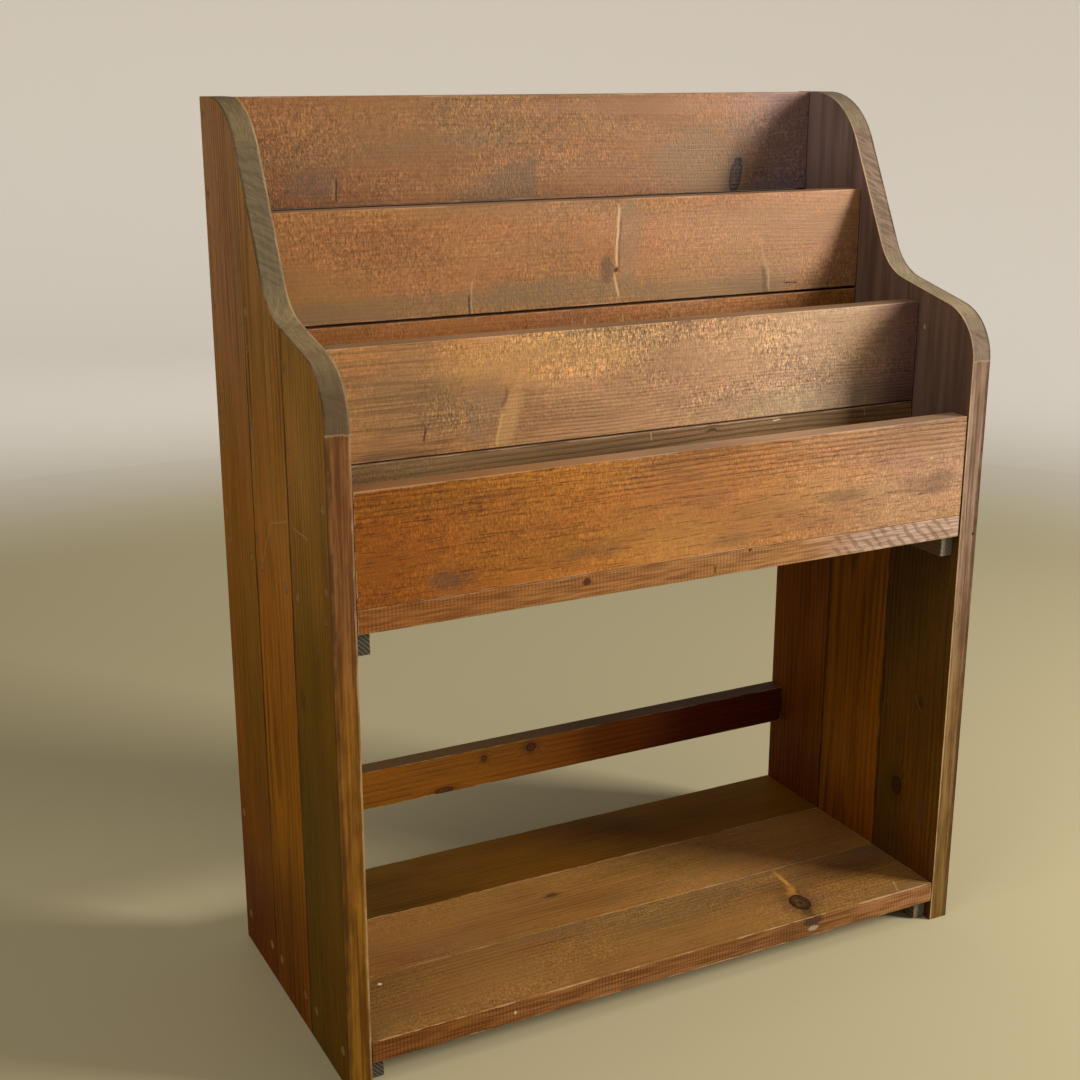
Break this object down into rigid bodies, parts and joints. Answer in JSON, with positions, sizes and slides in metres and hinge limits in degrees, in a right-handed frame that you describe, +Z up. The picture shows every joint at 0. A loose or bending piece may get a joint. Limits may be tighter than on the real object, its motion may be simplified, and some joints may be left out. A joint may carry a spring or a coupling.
{
  "type": "magazine rack",
  "caption": "Free-standing wooden magazine and picture-book rack with stepped open pockets on a deck, an open bay and a bottom shelf between curved side panels.",
  "frame": {"origin": "middle of the footprint on the floor", "axes": "+Z up, +X to the right as seen from the front, +Y from the front to the back"},
  "size_m": [0.6, 0.267, 0.75],
  "materials": {
    "side_wood": "walnut-stained softwood, satin wax, worn pale at the corners",
    "wall_wood": "walnut-stained softwood, satin wax, orange-brown with grey-brown clouds",
    "shelf_wood": "walnut-stained softwood, satin wax, worn along the front edge",
    "cleat_wood": "dark stained softwood strip, matt",
    "screw_steel": "zinc-plated steel"
  },
  "bodies": {
    "root": {"back_wall_board_1": "wall_wood", "back_wall_board_2": "wall_wood", "back_wall_board_3": "wall_wood", "back_wall_board_4": "wall_wood", "deck_front_board": "shelf_wood", "deck_middle_board": "shelf_wood", "deck_rear_board": "shelf_wood", "deck_screw_left_1": "screw_steel", "deck_screw_left_2": "screw_steel", "deck_screw_left_3": "screw_steel", "deck_screw_left_4": "screw_steel", "deck_screw_left_5": "screw_steel", "deck_screw_left_6": "screw_steel", "deck_screw_right_1": "screw_steel", "deck_screw_right_2": "screw_steel", "deck_screw_right_3": "screw_steel", "deck_screw_right_4": "screw_steel", "deck_screw_right_5": "screw_steel", "deck_screw_right_6": "screw_steel", "front_wall_board_1": "wall_wood", "front_wall_screw_left_1": "screw_steel", "front_wall_screw_left_2": "screw_steel", "front_wall_screw_right_1": "screw_steel", "front_wall_screw_right_2": "screw_steel", "left_deck_cleat": "cleat_wood", "left_shelf_cleat": "cleat_wood", "left_side_front_board": "side_wood", "left_side_middle_board": "side_wood", "left_side_rear_board": "side_wood", "rail_screw_left": "screw_steel", "rail_screw_right": "screw_steel", "rear_rail": "wall_wood", "right_deck_cleat": "cleat_wood", "right_shelf_cleat": "cleat_wood", "right_side_front_board": "side_wood", "right_side_middle_board": "side_wood", "right_side_rear_board": "side_wood", "second_wall_board_1": "wall_wood", "second_wall_board_2": "wall_wood", "shelf_front_board": "shelf_wood", "shelf_middle_board": "shelf_wood", "shelf_rear_board": "shelf_wood", "shelf_screw_left_1": "screw_steel", "shelf_screw_left_2": "screw_steel", "shelf_screw_left_3": "screw_steel", "shelf_screw_left_4": "screw_steel", "shelf_screw_left_5": "screw_steel", "shelf_screw_left_6": "screw_steel", "shelf_screw_right_1": "screw_steel", "shelf_screw_right_2": "screw_steel", "shelf_screw_right_3": "screw_steel", "shelf_screw_right_4": "screw_steel", "shelf_screw_right_5": "screw_steel", "shelf_screw_right_6": "screw_steel", "third_wall_board_1": "wall_wood", "third_wall_board_2": "wall_wood", "third_wall_board_3": "wall_wood"}
  },
  "joints": []
}
